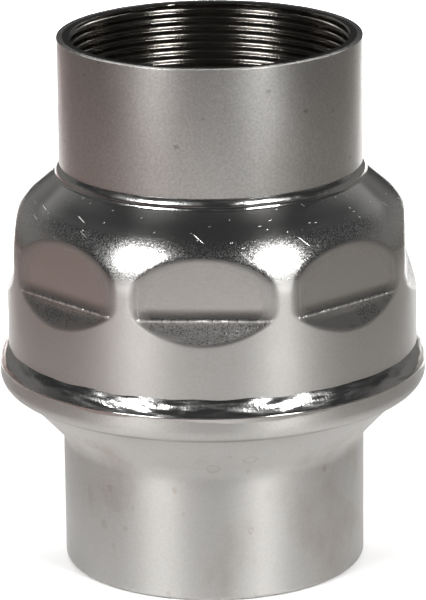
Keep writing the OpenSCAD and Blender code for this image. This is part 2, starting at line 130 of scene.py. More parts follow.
# A material or the world, and the nodes that it is made of
class Finish:
    def __init__(self, owner):
        owner.use_nodes = True
        self.owner = owner
        self.tree = owner.node_tree
        self.tree.nodes.clear()

    def node(self, kind, settings, values, out=0):
        made = self.tree.nodes.new(kind)
        for name, value in settings.items():
            setattr(made, name, value)
        for name, value in values.items():
            if isinstance(value, Wire):
                self.tree.links.new(value.socket, made.inputs[name])
            else:
                made.inputs[name].default_value = value
        return Wire(self, made.outputs[out])

    def attribute(self, name):
        return self.node("ShaderNodeAttribute", {"attribute_name": name}, {}, "Fac")

    def axis(self, vector, name):
        return self.node("ShaderNodeSeparateXYZ", {}, {0: vector}, name)

    def stretched(self, vector, x, y, z):
        return self.node("ShaderNodeVectorMath", {"operation": "MULTIPLY"}, {0: vector, 1: (x, y, z)})

    def turned(self, vector, turn):
        settings = {"rotation_type": "EULER_XYZ"}
        return self.node("ShaderNodeVectorRotate", settings, {"Vector": vector, "Rotation": turn})

    def noise(self, vector, scale, detail=2.0, rough=0.5):
        values = {"Vector": vector, "Scale": scale, "Detail": detail, "Roughness": rough}
        return self.node("ShaderNodeTexNoise", {}, values, "Fac")

    def spread(self, value, low, high, newLow=0.0, newHigh=1.0):
        settings = {"interpolation_type": "SMOOTHSTEP"}
        return self.node("ShaderNodeMapRange", settings, {0: value, 1: low, 2: high, 3: newLow, 4: newHigh})

    def colours(self, factor, first, second):
        return self.node("ShaderNodeMix", {"data_type": "RGBA"}, {0: factor, 6: first, 7: second}, 2)

    def around(self, place):
        # distance from the valve's axis
        x = self.axis(place, "X")
        y = self.axis(place, "Y")
        return (x * x + y * y) ** 0.5

    def rings(self, place, scale, breaks=60):
        # fine marks that run round the axis, on walls and on flat faces
        x, z = self.axis(place, "X"), self.axis(place, "Z")
        values = {0: self.around(place) * scale, 1: z * scale, 2: x * breaks}
        return self.noise(self.node("ShaderNodeCombineXYZ", {}, values), 1.0, 3.0, 0.6)

    def marks(self, place, turn, cell, edge):
        # thin short marks in one direction; cell holds how many lie in a metre each way
        values = {"Vector": self.stretched(self.turned(place, turn), *cell), "Scale": 1.0}
        return self.spread(self.node("ShaderNodeTexVoronoi", {}, values, "Distance"), edge, edge * 0.5)

    def loops(self, place, turn, cell, size, thick):
        # thin round marks that a drop leaves as it dries
        values = {"Vector": self.turned(place, turn), "Scale": cell, "Randomness": 1.0}
        away = self.node("ShaderNodeTexVoronoi", {}, values, "Distance") / size - 1
        return self.spread(away * away, thick, 0)

    def surface(self, colour, rough, height, deep, kind):
        # kind holds what is the same all over the surface, such as how metallic it is
        bump = self.node("ShaderNodeBump", {}, {"Height": height, "Distance": deep, "Strength": 1.0})
        values = {"Base Color": colour, "Roughness": rough, "Normal": bump, **kind}
        return self.done(self.node("ShaderNodeBsdfPrincipled", {}, values))

    def done(self, shader):
        isMaterial = isinstance(self.owner, bpy.types.Material)
        end = self.tree.nodes.new("ShaderNodeOutputMaterial" if isMaterial else "ShaderNodeOutputWorld")
        self.tree.links.new(shader.socket, end.inputs["Surface"])
        return self.owner


def newMaterial(name):
    finish = Finish(bpy.data.materials.new(name))
    return finish, finish.node("ShaderNodeTexCoord", {}, {}, "Object")


# Camera: where the photograph was taken from, fitted to the outline
view = {
    "turn": 2.595,            # degrees round the valve, to its right
    "down": 16.72,            # degrees that the camera looks down to the aim
    "distance": 1059.786 * mm,
    "aim": 76.694 * mm,       # height of the aim on the valve's axis
    "lens": 239.77,           # millimetres, as is the sensor
    "sensor": 36,
    "sees": 20,               # metres
    "lean": -0.635,           # roll
    "drop": 0.343,            # the aim lies this far above the picture's middle
    "side": 0.013,
}


def spotRound(degrees, away, tall):
    turn = radians(degrees)
    return Vector((away * sin(turn), -away * cos(turn), tall))


def makeCamera():
    camera = newObject("camera", bpy.data.cameras.new("camera"))
    camera.data.lens = view["lens"]
    camera.data.sensor_width = view["sensor"]
    camera.data.clip_end = view["sees"]
    down = radians(view["down"])
    away = view["distance"]
    aimed = Matrix.Translation(spotRound(view["turn"], away * cos(down), view["aim"] + away * sin(down)))
    turns = (view["turn"], "Z"), (90 - view["down"], "X"), (view["lean"], "Z"), (-view["drop"], "X")
    for degrees, axis in (*turns, (-view["side"], "Y")):
        aimed = aimed @ Matrix.Rotation(radians(degrees), 4, axis)
    camera.matrix_world = aimed
    bpy.context.scene.camera = camera


makeCamera()
print("camera placed")

# Studio: a pale floor in a dim room, two soft boxes in front, two behind, and a lamp over the backdrop; the
# floor's colour carries painted light and shade
studio = {
    "floorSize": 4,
    "floorColour": (0.95, 0.95, 0.95, 1),
    "floorLeftShade": (0.29, 0.225, 0.21, 1),
    "floorRightShade": (0.262, 0.246, 0.229, 1),
    "floorMiddle": 0.45,      # the palest spot, a painted pool of light, lies this far behind the valve
    "floorReach": (0.2, 0.66),
    "floorShadeFades": (0.7, 1.5),                 # shares of the reach over which the painted shade comes in
    "floorWidens": (-0.1, 1, 0.78, 1.3),      # from, to, share of the reach at each
    "roomColour": (0.048, 0.049, 0.05, 1),
    # the walls at the sides, and the pale corners high behind: where each starts and is full, as a direction
    "wallColour": (0.24, 0.235, 0.23, 1),
    "wallAside": (0.02, 0.2),                 # square of how far to the side
    "wallBack": (-0.2, 0.4),
    "wallTop": (0.15, 0.5),
    "behindColour": (0.46, 0.46, 0.455, 1),
    "behindBack": (0.45, 0.88),
    "behindUp": (0.3, 0.38),
    "boxAim": 90 * mm,
    # name: degrees from the camera's side, distance, height, width, length, watts
    "boxes": {
        "left_box": (-45, 0.56, 0.495, 0.24, 0.17, 3.9),
        "right_box": (41, 0.56, 0.495, 0.17, 0.17, 3.9),
        "back_left_box": (-160, 0.75, 0.88, 0.5, 0.5, 5.4),
        "back_right_box": (160, 0.75, 0.88, 0.5, 0.5, 5.4),
    },
    "backdropLamp": {"spot": (0, 0.62, 1.5), "size": (0.3, 0.3), "watts": 4.6, "spread": 33},
}


def makeLamp(name, spot, target, size, watts):
    data = bpy.data.lights.new(name, "AREA")
    data.shape = "RECTANGLE"
    data.size = size[0]
    data.size_y = size[1]
    data.energy = watts
    lamp = newObject(name, data)
    lamp.location = spot
    lamp.rotation_euler = (Vector(target) - Vector(spot)).to_track_quat("-Z", "Y").to_euler()
    return lamp


def makeFloor():
    half = studio["floorSize"] / 2
    mesh = bpy.data.meshes.new("floor")
    corners = [(-half, -half, 0), (half, -half, 0), (half, half, 0), (-half, half, 0)]
    mesh.from_pydata(corners, [], [(0, 1, 2, 3)])
    floor = newObject("floor", mesh)
    paint, place = newMaterial("floor_painted_shade")
    back = paint.axis(place, "Y")
    across = paint.axis(place, "X") / (studio["floorReach"][0] * paint.spread(back, *studio["floorWidens"]))
    along = (back - studio["floorMiddle"]) / studio["floorReach"][1]
    away = (across * across + along * along) ** 0.5
    # painted shade: away from its pale middle the floor turns brownish grey, darker where the lamps reach
    # less
    edge = paint.colours(paint.spread(across, -1, 1), studio["floorLeftShade"], studio["floorRightShade"])
    colour = paint.colours(paint.spread(away, *studio["floorShadeFades"]), studio["floorColour"], edge)
    values = {"Base Color": colour, "Roughness": 0.9, "Specular IOR Level": 0.1}
    mesh.materials.append(paint.done(paint.node("ShaderNodeBsdfPrincipled", {}, values)))


def makeRoom():
    world = bpy.data.worlds.new("room")
    bpy.context.scene.world = world
    room = Finish(world)
    towards = room.node("ShaderNodeTexCoord", {}, {}, "Generated")
    side, back, up = (room.axis(towards, name) for name in "XYZ")
    aside = room.spread(side * side, *studio["wallAside"])
    wall = aside * room.spread(back, *studio["wallBack"]) * (1 - room.spread(up, *studio["wallTop"]))
    behind = aside * room.spread(back, *studio["behindBack"]) * room.spread(up, *studio["behindUp"])
    colour = room.colours(wall, studio["roomColour"], studio["wallColour"])
    colour = room.colours(behind, colour, studio["behindColour"])
    room.done(room.node("ShaderNodeBackground", {}, {"Color": colour, "Strength": 1.0}))


def makeLamps():
    for name, (degrees, away, tall, width, length, watts) in studio["boxes"].items():
        spot = spotRound(view["turn"] + degrees, away, tall)
        makeLamp(name, spot, (0, 0, studio["boxAim"]), (width, length), watts)
    over = studio["backdropLamp"]
    lamp = makeLamp("backdrop_lamp", over["spot"], (*over["spot"][:2], 0), over["size"], over["watts"])
    lamp.data.spread = radians(over["spread"])


makeFloor()
makeRoom()
makeLamps()
bpy.context.scene.view_settings.view_transform = "Standard"
print("studio lit")

# Meshes: sheets of rings around the valve's axis
mergeWithin = 0.002 * mm
wavesInEach = 14              # waves that are added up in one set of lumps
turnedColumns = 96            # round the stem, its clip and the guide tube
homes = {node: body for body, nodes in frame["record"]["behaviour"]["bodies"].items() for node in nodes}
slots = {row["node"]: row["material_slot"] for row in frame["record"]["subparts"]}
slots["stem_washer"] = "turned_steel"         # turned, as its nut is


def ramp(values, low, high):
    # 0 up to low, 1 from high on
    return np.clip((values - low) / (high - low), 0, 1)


def smoothMin(first, second, width):
    near = np.clip(width - np.abs(first - second), 0, None) / width
    return np.minimum(first, second) - near * near * width / 4


def smoothMax(first, second, width):
    return -smoothMin(-np.asarray(first), -np.asarray(second), width)


def evenAngles(columns):
    return np.arange(columns) * fullTurn / columns


def polarSheet(angles, *parts, closeRound=True, closeRows=False):
    # each part is the radii and the heights of some rows, which follow on those of the part before
    parts = [np.broadcast_arrays(radius, height, angles[None, :]) for radius, height in parts]
    radius, height, turn = (np.concatenate(side) for side in zip(*parts))
    points = np.stack([radius * np.cos(turn), radius * np.sin(turn), height], axis=-1)
    rows, columns = radius.shape
    index = np.arange(rows * columns).reshape(rows, columns)
    if closeRound:
        index = np.concatenate([index, index[:, :1]], axis=1)
    if closeRows:
        index = np.concatenate([index, index[:1]], axis=0)
    quads = np.stack([index[:-1, :-1], index[:-1, 1:], index[1:, 1:], index[1:, :-1]], axis=-1)
    return points.reshape(-1, 3), quads.reshape(-1, 4)


def merged(mesh):
    work = bmesh.new()
    work.from_mesh(mesh)
    bmesh.ops.remove_doubles(work, verts=work.verts, dist=mergeWithin)
    return work


def placePiece(node, mesh, work, material, sharp):
    # the worked mesh becomes a piece that stands for the node
    work.to_mesh(mesh)
    work.free()
    mesh.materials.append(material)
    mesh.shade_smooth()
    mesh.set_sharp_from_angle(angle=radians(sharp))
    piece = newObject(mesh.name, mesh)
    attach(piece, homes[node])
    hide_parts(node)
    return piece


def buildPiece(node, kind, material, sheets, sharp=35, marks=None):
    points = np.concatenate([sheet[0] for sheet in sheets])
    starts = np.cumsum([0] + [len(sheet[0]) for sheet in sheets[:-1]])
    quads = np.concatenate([sheet[1] + start for sheet, start in zip(sheets, starts)])
    mesh = bpy.data.meshes.new(node + "_" + kind)
    mesh.from_pydata(points.tolist(), [], quads.tolist())
    for mark, values in (marks or {}).items():
        layer = mesh.attributes.new(mark, "FLOAT", "POINT")
        layer.data.foreach_set("value", np.asarray(values, float).ravel())
    work = merged(mesh)
    bmesh.ops.recalc_face_normals(work, faces=work.faces)
    return placePiece(node, mesh, work, material, sharp)


def lumps(angles, share, waves, seed):
    # smooth bumps that close on themselves round the valve: (waves round it, waves across, height)
    draw = np.random.default_rng(seed)
    made = np.zeros((len(share), len(angles)))
    for most, across, size in waves:
        for _ in range(wavesInEach):
            phase = draw.uniform(0, fullTurn) + fullTurn * draw.uniform(-across, across) * share[:, None]
            count = draw.integers(most // 3, most + 1)
            made += size / sqrt(wavesInEach) * np.cos(count * angles[None, :] + phase)
    return made


def roundedOutline(corners, steps=5):
    # corners are (radius, height, rounding), in order round the section; gives radii and heights
    outline = []
    for place, (radius, height, rounding) in enumerate(corners):
        here = Vector((radius, height))
        if rounding == 0:
            outline.append(tuple(here))
            continue
        before = (Vector(corners[place - 1][:2]) - here).normalized()
        after = (Vector(corners[(place + 1) % len(corners)][:2]) - here).normalized()
        half = before.angle(after) / 2
        cut = rounding / tan(half)
        middle = here + (before + after).normalized() * rounding / sin(half)
        start = here + before * cut - middle
        end = here + after * cut - middle
        for step in range(steps + 1):
            spoke = start.lerp(end, step / steps)
            outline.append(tuple(middle + spoke.normalized() * rounding))
    outline = np.array(outline)
    return outline[:, :1], outline[:, 1:]


def spunPiece(node, kind, material, corners, columns=128, sharp=35):
    sheet = polarSheet(evenAngles(columns), roundedOutline(corners), closeRows=True)
    buildPiece(node, kind, material, [sheet], sharp)


def threadSheet(mouth, way):
    # way is -1 where the mouth is on top and 1 where it is at the foot
    perPitch = pipeThread["pointsPerPitch"]
    pitch = pipeThread["pitch"]
    crest = pipeThread["crest"]
    entry = pipeThread["entry"]
    angles = np.linspace(0, fullTurn, pipeThread["columns"] + 1)
    last = threadEnd + pipeThread["depth"]
    rows = np.arange(ceil((last / pitch + 1) * perPitch) + 1)[:, None]
    lag = angles[None, :] / fullTurn
    deep = np.clip(pitch * (rows / perPitch - (lag if way < 0 else 1 - lag)), 0, last)
    phase = deep / pitch + (lag if way < 0 else -lag)
    groove = 0.5 - 0.5 * np.cos(fullTurn * phase)
    radius = crest + pipeThread["depth"] * groove * ramp(deep, entry / 4, entry * 5 / 4)
    radius = np.maximum(radius, crest + entry - deep)
    radius = np.maximum(radius, np.minimum(threadRoot, crest + deep - threadEnd))
    return polarSheet(angles, (radius, mouth + way * deep), closeRound=False), mouth + way * last


print("mesh tools ready")

# Finishes
steel = (0.52, 0.514, 0.502, 1)
scratchedSteel = (0.8, 0.79, 0.77, 1)
stainedSteel = (0.41, 0.365, 0.325, 1)
# dark steel: painted shade in the socket's bore and on its rim, along the lower shell's fold and on its lip;
# also the real grain speckle and spots
shadeAndSpotSteel = (0.27, 0.255, 0.235, 1)
metal = {"Metallic": 1.0}
drawnMetal = {**metal, "Anisotropic": 0.8, "Anisotropic Rotation": 0.25}      # fine marks round the axis
turnedMetal = {**drawnMetal, "Anisotropic": 0.66}

socketFinish = {
    "rough": 0.32,
    "insideSmooth": 0.2,      # the thread is this much smoother than the outside
    "rimSmooth": 0.12,
    "inside": (38.2 * mm, 38.6 * mm),         # radii between which the thread's finish and its painted shade end
    "rim": (0.12 * mm, 0.06 * mm),            # depths under the top between which the rim's finish and its painted shade start
    "bump": 0.05 * mm,
}


def makeTurnedSteel():
    part = socketFinish
    finish, place = newMaterial("turned_steel")
    inside = 1 - finish.spread(finish.around(place), *part["inside"])
    rim = finish.spread(finish.axis(place, "Z"), *(socketTop - deep for deep in part["rim"]))
    grain = finish.noise(place, 1600, 3.0, 0.7)
    cloud = finish.noise(place, 70)
    rough = part["rough"] + 0.1 * cloud - part["insideSmooth"] * inside - part["rimSmooth"] * rim
    height = finish.rings(place, 7000) * 0.3 + grain * 0.7
    spot = finish.marks(place, (0.2, 0.1, 0.4), (120, 120, 150), 0.12)
    # painted shade darkens the rim's top; the grain speckle and spots are the steel's own
    spotsAndShade = 0.5 * rim + 0.36 * finish.spread(grain, 0.35, 0.65) + 0.5 * spot
    colour = finish.colours(spotsAndShade, steel, shadeAndSpotSteel)
    # painted shade darkens the thread's bore
    colour = finish.colours(inside, colour, shadeAndSpotSteel)
    return finish.surface(colour, rough, height, part["bump"], turnedMetal)


shellFinish = {
    "satin": 0.36,            # roughness of the drawn sheet
    "flatSmooth": 0.17,       # the flats are this much smoother
    "polished": 0.11,         # roughness of the shoulder
    "melted": 0.15,           # roughness of what the weld left on the lip
    # heights between which a band starts or ends
    "neckEnds": (36 * mm, 56 * mm),
    "stainsEnd": (40 * mm, 46 * mm),
    "lipStarts": (43 * mm, 50 * mm),
    # the fold's band is painted shade: a dark line where the lip meets the cone
    "foldShadeStarts": (47.6 * mm, 48.1 * mm),
    "foldShadeEnds": (49 * mm, 50 * mm),
    "weldStarts": (56.2 * mm, 57 * mm),
    "meltStarts": (56.6 * mm, 57.4 * mm),
    "meltWanders": 4 * mm,
    "bump": 0.05 * mm,
}


def makeShellSteel():
    part = shellFinish
    finish, place = newMaterial("shell_steel")
    tall = finish.axis(place, "Z")
    polish = finish.attribute("polish")       # the shoulder, bright from the die
    sparkle = finish.attribute("sparkle")     # the rounding, where the grain is stretched open
    ledge = finish.attribute("ledge")
    flat = finish.attribute("flat")
    burr = finish.attribute("burr")           # where the punch scraped the crease
    neck = 1 - finish.spread(tall, *part["neckEnds"])
    low = 1 - finish.spread(tall, *part["stainsEnd"])
    weld = finish.spread(tall, *part["weldStarts"])
    lip = finish.spread(tall, *part["lipStarts"]) - weld
    # painted shade along the fold between the lip and the cone
    foldShade = finish.spread(tall, *part["foldShadeStarts"]) - finish.spread(tall, *part["foldShadeEnds"])
    wander = part["meltWanders"] * finish.noise(place, 48, 3.0)
    melted = finish.spread(tall + wander, *part["meltStarts"]) * (1 - weld)
    lines = finish.noise(finish.stretched(place, 2400, 2400, 25), 1.0, 3.0, 0.6)
    grain = finish.noise(place, 1500, 3.0, 0.7)
    fine = finish.noise(place, 2900, 3.0, 0.7)
    cloud = finish.noise(place, 55, 3.0)
    opened = sparkle + 0.8 * ledge
    speck = finish.noise(place, 3000, 4.0, 0.75) + 0.1 * opened + 0.04 * ledge
    speck = finish.spread(speck, 0.54, 0.7) * opened
    worn = finish.spread(finish.noise(place, 130), 0.4, 0.65) * ledge
    scratch = finish.marks(place, (0.4, 0.9, 0.2), (950, 45, 45), 0.12)
    nick = finish.marks(place, (-0.7, 0.3, 1.1), (900, 190, 190), 0.1)
    hurt = (scratch + nick) * polish
    satin = part["satin"] + 0.1 * cloud + 0.1 * neck + 0.08 * lip - part["flatSmooth"] * flat
    satin = satin + (part["melted"] - satin) * melted
    rough = satin + (part["polished"] - satin) * polish + 0.24 * speck + 0.06 * sparkle
    rough = rough + 0.05 * worn + 0.2 * hurt + 0.25 * burr
    height = lines * (1 - polish) * 0.06 + grain * (0.08 + 0.6 * sparkle) + fine * 1.1 * ledge - hurt * 0.5
    stain = finish.spread(finish.noise(finish.stretched(place, 45, 45, 30), 1.0, 3.0, 0.6), 0.52, 0.72)
    ragged = finish.spread(finish.noise(place, 700, 3.0, 0.7), 0.35, 0.6)
    spot = finish.marks(place, (0.1, 0.2, 0.1), (150, 150, 110), 0.16) * ragged
    drop = finish.loops(place, (0.5, 0.1, 0.3), 70, 0.13, 0.05)
    speckled = (0.26 - 0.26 * polish) * finish.spread(grain, 0.35, 0.65)
    colour = finish.colours(speckled + (stain * 0.6 + spot * 0.7 + drop * 0.45) * low, steel, stainedSteel)
    colour = finish.colours(hurt * 0.7 + burr * 0.8, colour, scratchedSteel)
    # painted shade: a dark line along the fold, and the lip a little darker for the shadowed floor under it
    colour = finish.colours(1.3 * cloud * foldShade + 0.1 * lip, colour, shadeAndSpotSteel)
    return finish.surface(colour, rough, height, part["bump"], drawnMetal)


def makeWeldSteel():
    finish, place = newMaterial("weld_steel")
    streaks = finish.noise(finish.stretched(place, 120, 120, 900), 1.0, 4.0, 0.6)
    height = streaks * 0.6 + finish.noise(place, 900, 3.0, 0.6) * 0.4
    return finish.surface(steel, finish.spread(streaks, 0.35, 0.65, 0.1, 0.24), height, 0.06 * mm, metal)


def makeMachinedSteel():
    finish, place = newMaterial("machined_steel")
    film = finish.spread(finish.noise(place, 160, 4.0, 0.6), 0.5, 0.75)
    rough = 0.24 + 0.08 * finish.noise(place, 90) + 0.12 * film
    height = finish.rings(place, 5200) * 0.7 + finish.noise(place, 2600) * 0.3
    colour = finish.colours(film * 0.4, steel, stainedSteel)
    return finish.surface(colour, rough, height, 0.03 * mm, turnedMetal)


def makeSheetSteel():
    finish, place = newMaterial("sheet_steel")
    rolled = finish.noise(finish.stretched(place, 70, 2600, 2600), 1.0, 3.0, 0.6)
    scratch = finish.marks(place, (0.3, 0.2, 0.8), (1000, 60, 60), 0.08)
    rough = 0.3 + 0.12 * finish.noise(place, 60, 3.0) + 0.2 * scratch
    height = rolled * 0.8 + finish.noise(place, 1800) * 0.2 - scratch * 0.5
    colour = finish.colours(scratch * 0.6, steel, scratchedSteel)
    return finish.surface(colour, rough, height, 0.03 * mm, metal)


def makeSpringSteel():
    finish, place = newMaterial("spring_steel")
    drawn = finish.noise(finish.stretched(place, 500, 500, 3600), 1.0, 3.0, 0.6)
    cloud = finish.spread(finish.noise(place, 220, 3.0), 0.4, 0.7)
    colour = finish.colours(cloud * 0.5, steel, stainedSteel)
    return finish.surface(colour, 0.22 + 0.12 * cloud, drawn, 0.02 * mm, metal)


def makeSealRubber():
    finish, place = newMaterial("seal_rubber")
    bloom = finish.spread(finish.noise(place, 110, 5.0, 0.65), 0.45, 0.75)
    colour = finish.colours(bloom * 0.6, (0.018, 0.018, 0.019, 1), (0.055, 0.053, 0.05, 1))
    return finish.surface(colour, 0.5 + 0.2 * bloom, finish.noise(place, 2200, 3.0, 0.7), 0.04 * mm, {})


def makeBushPlastic():
    finish, place = newMaterial("bush_plastic")
    cloud = finish.noise(place, 140, 3.0)
    colour = finish.colours(cloud, (0.82, 0.79, 0.71, 1), (0.74, 0.71, 0.62, 1))
    return finish.surface(colour, 0.35 + 0.15 * cloud, finish.rings(place, 3600), 0.03 * mm, {})


turnedSteel = makeTurnedSteel()
shellSteel = makeShellSteel()
weldSteel = makeWeldSteel()
machinedSteel = makeMachinedSteel()
sheetSteel = makeSheetSteel()
springSteel = makeSpringSteel()
sealRubber = makeSealRubber()
bushPlastic = makeBushPlastic()
print("finishes made")

# Upper shell: skirt, eight flats with their ledges, rounding and sloped shoulder
upperShell = {
    "wall": 2.35 * mm,
    "flats": 8,
    "flatDepth": 3.2 * mm,
    "ledgeRise": 24.5 * mm,   # from the lower shell's rim
    "ledgeSlope": 58.5,
    "ledgeDish": 0.6 * mm,
    "ledgeHalf": 17 * mm,
    "dishStarts": 1.5 * mm,   # the dish is full this far out from the flat
    "ledgeBlend": 0.5 * mm,
    "ledgeStarts": 1 * mm,    # under the crease
    "creaseBlend": 2.2 * mm,
    "creaseStep": 0.35 * mm,  # the ledge stands this far off the soft bend above it
    "rounding": 20 * mm,
    "slope": 40.6,
    "ridgeEdge": 0.6 * mm,    # the ridge starts this deep beside the flat
    "ridgeReach": 0.6 * mm,
    "ridgeCurve": 2,
    "ridgeBlend": 0.65 * mm,  # along the flat's arch
    "archStarts": (2 * mm, 6 * mm),           # above the rounding's foot
    "punchHalf": 16.8 * mm,   # the punch left a faint upright line this far from the flat's middle
    "punchDeep": 0.07 * mm,
    "punchWidth": 0.28 * mm,
    "punchColumns": (-0.5, -0.3, -0.15, 0, 0.15, 0.3, 0.5),   # extra columns there, in degrees
    "burr": 0.2 * mm,         # dotted line that the punch left along each crease
    "burrWidth": 0.3 * mm,
    "burrDots": [(500, 0, 0.5), (160, 0, 0.3)],
    "burrBright": 1.6,
    "spigotBore": 38.03 * mm,
    "columns": 720,
    "hiddenFoot": 1 * mm,     # rows start this far under the weld's top
    "skirtStep": 1.2 * mm,
    "creaseRows": 0.13 * mm,
    "creaseBand": (-7 * mm, 2 * mm),          # from the crease
    "rowStep": 0.36 * mm,
    "insideRows": 70,
}

# Where the shell's finish changes: how far past an edge a change starts and is full
shellMarks = {
    "onFlat": (-0.25 * mm, 0.25 * mm),
    "besideFlat": (0, 0.5 * mm),
    "aboveCrease": (0, 1 * mm),
    "underCrease": (0, 0.4 * mm),
    "satin": (0.2 * mm, 1.5 * mm),            # into the flat
    "polish": (2.5 * mm, 6.5 * mm),           # above the rounding's foot
    "heated": 6 * mm,         # the weld on top took off some of the polish
    "heatTook": 0.3,
    "sparkleMiddle": 9.5 * mm,
    "sparkleHalf": 7.5 * mm,
}


def flatTurn(angles):
    # turn from the middle of the nearest flat
    step = fullTurn / upperShell["flats"]
    return (angles + pi / 2 + step / 2) % step - step / 2


def ridged(dome, cut):
    # the ridge between two flats is crowned
    part = upperShell
    share = ramp(dome - cut, -part["ridgeReach"], part["ridgeEdge"])
    crowned = dome - part["ridgeEdge"] * share ** part["ridgeCurve"]
    return np.minimum(crowned, np.maximum(cut, dome - part["flatDepth"] * 2))


def shellTurns(inset):
    # heights and radii at which the sheet's outside, or its inside a wall further in, turns
    part = upperShell
    slope = radians(part["slope"])
    tilt = radians(part["ledgeSlope"])
    rise = pi / 2 - slope
    tangent = skirtRadius - part["rounding"] * (1 - cos(rise))
    tangentHeight = shoulderTop - (tangent - weldRadius) * tan(slope)
    shoulder = tangentHeight - part["rounding"] * sin(rise)
    turnRadius = part["rounding"] - inset
    return {
        "flat": skirtRadius - part["flatDepth"] - inset,
        "crease": waistFoot + part["ledgeRise"] - inset * (1 - sin(tilt)) / cos(tilt),
        "shoulder": shoulder,
        "turnRadius": turnRadius,
        "endRadius": skirtRadius - part["rounding"] + turnRadius * cos(rise),
        "endHeight": shoulder + turnRadius * sin(rise),
    }


def shellRadii(heights, angles, inset):
    # the shell's radius, and how far the flat's cut lies inside the round shell
    part = upperShell
    at = shellTurns(inset)
    heights = heights[:, None]
    up = np.clip(heights - at["shoulder"], 0, at["endHeight"] - at["shoulder"])
    dome = skirtRadius - part["rounding"] + np.sqrt(at["turnRadius"] ** 2 - up ** 2)
    sloped = at["endRadius"] - (heights - at["endHeight"]) / tan(radians(part["slope"]))
    dome = np.where(heights > at["endHeight"], sloped, dome)
    off = flatTurn(angles)
    beside = at["flat"] * np.tan(off) / part["ledgeHalf"]
    dish = part["ledgeDish"] * np.clip(1 - beside * beside, 0, 1)
    ledge = at["flat"] + (at["crease"] - heights) / tan(radians(part["ledgeSlope"]))
    ledge = ledge - dish * ramp(ledge - at["flat"], 0, part["dishStarts"])
    plane = np.maximum(smoothMax(at["flat"], ledge - part["creaseStep"], part["creaseBlend"]), ledge)
    cut = plane / np.cos(off)[None, :]
    arched = ramp(heights - at["shoulder"], *part["archStarts"])
    low = ramp(at["crease"] - heights, 0, part["ledgeStarts"])
    radius = ridged(dome, cut) * (1 - arched) + smoothMin(dome, cut, part["ridgeBlend"]) * arched
    radius = radius * (1 - low) + smoothMin(dome, cut, part["ledgeBlend"]) * low
    return radius, dome - cut


def makeUpperShell():
    part = upperShell
    at = shellTurns(0)
    crease = at["crease"]
    edges = [atan(side * part["punchHalf"] / at["flat"]) for side in (-1, 1)]
    extra = [edge + radians(turn) for edge in edges for turn in part["punchColumns"]]
    flatAngles = evenAngles(part["flats"])[:, None] + np.array(extra)[None, :] - pi / 2
    angles = np.unique(np.concatenate([evenAngles(part["columns"]), (flatAngles % fullTurn).ravel()]))
    sight = waistTop - part["hiddenFoot"]
    under = crease + part["creaseBand"][0]
    above = crease + part["creaseBand"][1]
    heights = np.concatenate([
        [skirtFoot, (skirtFoot + sight) / 2], np.arange(sight, under, part["skirtStep"]),
        np.arange(under, above, part["creaseRows"]), np.arange(above, shoulderTop, part["rowStep"]),
        [shoulderTop],
    ])
    outer, over = shellRadii(heights, angles, 0)

    # the punch's marks
    levels = heights[:, None]
    onFlat = ramp(over, *shellMarks["onFlat"])
    beside = (levels - crease + part["burrWidth"]) / part["burrWidth"]
    dots = 0.5 + lumps(angles, np.zeros(1), part["burrDots"], seed=5)
    scraped = np.exp(-beside * beside) * dots
    outer = outer + part["burr"] * scraped * onFlat
    aside = (np.abs(at["flat"] * np.tan(flatTurn(angles))) - part["punchHalf"]) / part["punchWidth"]
    punched = np.exp(-aside * aside)[None, :] * ramp(levels - crease, *shellMarks["aboveCrease"])
    outer = outer - part["punchDeep"] * punched * ramp(over, *shellMarks["besideFlat"])

    # the sheet's inside
    end = shellTurns(part["wall"])
    innerTop = end["endHeight"] + (end["endRadius"] - part["spigotBore"]) * tan(radians(part["slope"]))
    innerHeights = np.linspace(innerTop, skirtFoot, part["insideRows"])
    inner, _ = shellRadii(innerHeights, angles, part["wall"])
    rows = [(outer, levels), (part["spigotBore"], shoulderTop), (inner, innerHeights[:, None])]

    # the finish's marks
    up = levels - at["shoulder"]
    domed = ramp(up, *shellMarks["polish"]) * (1 - onFlat)
    heated = shellMarks["heatTook"] * ramp(levels, shoulderTop - shellMarks["heated"], shoulderTop)
    satined = ramp(over, *shellMarks["satin"])
    satined = satined * satined * (3 - 2 * satined)
    fade = np.abs(up - shellMarks["sparkleMiddle"]) / shellMarks["sparkleHalf"]
    ledge = onFlat * ramp(crease - levels, *shellMarks["underCrease"])
    marks = {
        "polish": domed * (1 - heated),
        "sparkle": domed * (1 - np.clip(fade * fade, 0, 1)),
        "ledge": ledge,
        "flat": np.maximum(satined, ledge),
        "burr": np.clip(scraped * part["burrBright"], 0, 1) * onFlat,
    }
    unseen = np.zeros((len(innerHeights) + 1, len(angles)))
    marks = {name: np.concatenate([values, unseen]) for name, values in marks.items()}
    sheet = polarSheet(angles, *rows, closeRows=True)
    buildPiece("upper_shell", "pressed", shellSteel, [sheet], sharp=35, marks=marks)


makeUpperShell()
print("upper shell pressed")

# Outlet socket, turned from bar, with its female thread
outletSocket = {
    "edge": 0.4 * mm,
    "rimEdge": 0.12 * mm,
    "innerEdge": 0.3 * mm,
    "stopEdge": 0.2 * mm,
    "stopBore": 35.513 * mm,
    "spigot": 38.0 * mm,
}


def makeOutletSocket():
    part = outletSocket
    angles = evenAngles(pipeThread["columns"])
    stop = socketTop - threadLength
    thread, threadFoot = threadSheet(socketTop, -1)
    mouth = pipeThread["crest"] + pipeThread["entry"]
    bore = part["stopBore"]
    edge = part["innerEdge"]
    corners = [
        (threadRoot, threadFoot, 0), (threadRoot, stop, edge), (bore, stop, part["stopEdge"]),
        (bore, socketFoot, edge), (part["spigot"], socketFoot, edge), (part["spigot"], weldTop, 0),
        (socketRadius, weldTop, part["edge"]), (socketRadius, socketTop, part["rimEdge"]),
        (mouth, socketTop, 0),
    ]
    body = polarSheet(angles, roundedOutline(corners))
    buildPiece("outlet_socket", "turned", turnedSteel, [thread, body], sharp=40)


makeOutletSocket()
print("outlet socket turned")

